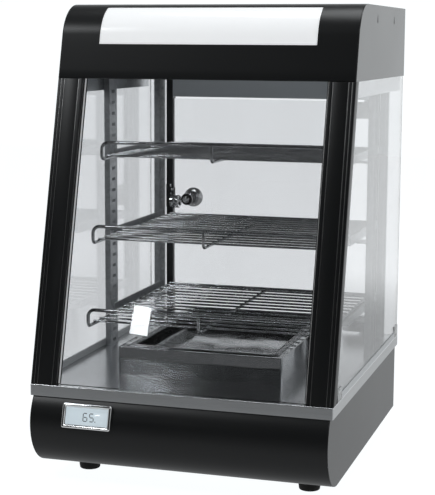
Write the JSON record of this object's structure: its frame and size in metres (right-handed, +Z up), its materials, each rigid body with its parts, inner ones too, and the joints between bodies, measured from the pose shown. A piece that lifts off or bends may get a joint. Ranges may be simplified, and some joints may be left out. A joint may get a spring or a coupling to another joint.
{
  "type": "drink warmer cabinet",
  "caption": "Countertop drink warmer: black sheet-metal base and curved lit canopy, leaning glass front, wire shelves over a polished heater cover, and a hinged glass door behind.",
  "frame": {"origin": "centre of the footprint, on the surface that the feet stand on", "axes": "+Z up, -Y towards the leaning front pane, +X to the right as seen from the front"},
  "size_m": [0.39, 0.5014, 0.6035],
  "materials": {
    "black_paint": "satin black powder coat",
    "charcoal_paint": "black paint with a soft gloss",
    "galvanised_steel": "plain sheet",
    "brushed_steel": "brushed stainless sheet",
    "post_steel": "dark square tube",
    "upright_steel": "slotted stainless channel",
    "mirror_steel": "polished stainless",
    "chrome_wire": "chromed wire",
    "chrome_trim": "polished",
    "strike_steel": "thin steel disc",
    "screw_steel": "zinc plated",
    "clear_glass": "clear toughened glass",
    "clear_plastic": "clear moulded plastic",
    "sign_acrylic": "white translucent acrylic",
    "lamp_white": "frosted tube",
    "white_plastic": "moulded",
    "black_plastic": "moulded",
    "rocker_red": "translucent red rocker",
    "rocker_green": "translucent green rocker",
    "display_glass": "pale liquid crystal display",
    "bulb_copper": "copper bulb and capillary",
    "element_metal": "oxidised sheath",
    "foot_rubber": "moulded rubber"
  },
  "bodies": {
    "cabinet": {"base_front_skin": "black_paint", "front_pillar_left": "black_paint", "front_pillar_right": "black_paint", "base_side_left": "charcoal_paint", "base_side_right": "charcoal_paint", "base_rear_panel": "charcoal_paint", "canopy_shell": "charcoal_paint", "canopy_side_left": "charcoal_paint", "canopy_side_right": "charcoal_paint", "canopy_rear_panel": "charcoal_paint", "base_bottom_plate": "galvanised_steel", "lamp_driver": "galvanised_steel", "deck_plate": "brushed_steel", "ceiling_panel": "brushed_steel", "rear_top_rail": "brushed_steel", "glazing_channels": "brushed_steel", "rear_post_left": "post_steel", "rear_post_right": "post_steel", "upright_front_left": "upright_steel", "upright_front_right": "upright_steel", "upright_rear_left": "upright_steel", "upright_rear_right": "upright_steel", "shelf_rails": "upright_steel", "heater_cover": "mirror_steel", "door_magnet": "chrome_trim", "door_hinge_pins": "chrome_trim", "thermometer_bezel": "chrome_trim", "foot_screws": "screw_steel", "clip_screws": "screw_steel", "element_clips": "screw_steel", "front_glass": "clear_glass", "side_glass_left": "clear_glass", "side_glass_right": "clear_glass", "rear_corner_panes": "clear_glass", "glass_clips": "clear_plastic", "sign_panel": "sign_acrylic", "lamp_tube": "lamp_white", "lamp_holders": "white_plastic", "terminal_block": "white_plastic", "thermostat_body": "black_plastic", "heat_switch_body": "black_plastic", "light_switch_body": "black_plastic", "cord_gland": "black_plastic", "thermometer_body": "black_plastic", "thermometer_display": "display_glass", "thermostat_bulb": "bulb_copper", "heating_element": "element_metal", "feet": "foot_rubber"},
    "door": {"door_glass": "clear_glass", "door_hinge_clamps": "chrome_trim", "door_knob": "chrome_trim", "door_knob_screw": "chrome_trim", "door_strike": "strike_steel"},
    "bottom_shelf": {"shelf_bottom": "chrome_wire"},
    "middle_shelf": {"shelf_middle": "chrome_wire"},
    "top_shelf": {"shelf_top": "chrome_wire"},
    "pan": {"water_pan": "mirror_steel"},
    "thermostat_dial": {"thermostat_knob": "black_plastic"},
    "heat_rocker": {"heat_switch_rocker": "rocker_red"},
    "light_rocker": {"light_switch_rocker": "rocker_green"}
  },
  "joints": [
    {"name": "door_swing", "type": "hinge", "parent": "cabinet", "child": "door", "pos_m": [0.141, 0.19972, 0.3], "axis": [0, 0, -1], "range_deg": [0, 110]},
    {"name": "bottom_shelf_lift", "type": "slide", "parent": "cabinet", "child": "bottom_shelf", "axis": [0, 0, 1], "range_m": [0, 0.015]},
    {"name": "middle_shelf_lift", "type": "slide", "parent": "cabinet", "child": "middle_shelf", "axis": [0, 0, 1], "range_m": [0, 0.005]},
    {"name": "top_shelf_lift", "type": "slide", "parent": "cabinet", "child": "top_shelf", "axis": [0, 0, 1], "range_m": [0, 0.015]},
    {"name": "pan_lift", "type": "slide", "parent": "cabinet", "child": "pan", "axis": [0, 0, 1], "range_m": [0, 0.012]},
    {"name": "thermostat_turn", "type": "hinge", "parent": "cabinet", "child": "thermostat_dial", "pos_m": [-0.075, 0.20872, 0.07], "axis": [0, 1, 0], "range_deg": [0, 270]},
    {"name": "heat_rocker_tilt", "type": "hinge", "parent": "cabinet", "child": "heat_rocker", "pos_m": [0, 0.20822, 0.07], "axis": [-1, 0, 0], "range_deg": [0, 20]},
    {"name": "light_rocker_tilt", "type": "hinge", "parent": "cabinet", "child": "light_rocker", "pos_m": [0.045, 0.20822, 0.07], "axis": [-1, 0, 0], "range_deg": [0, 20]}
  ]
}
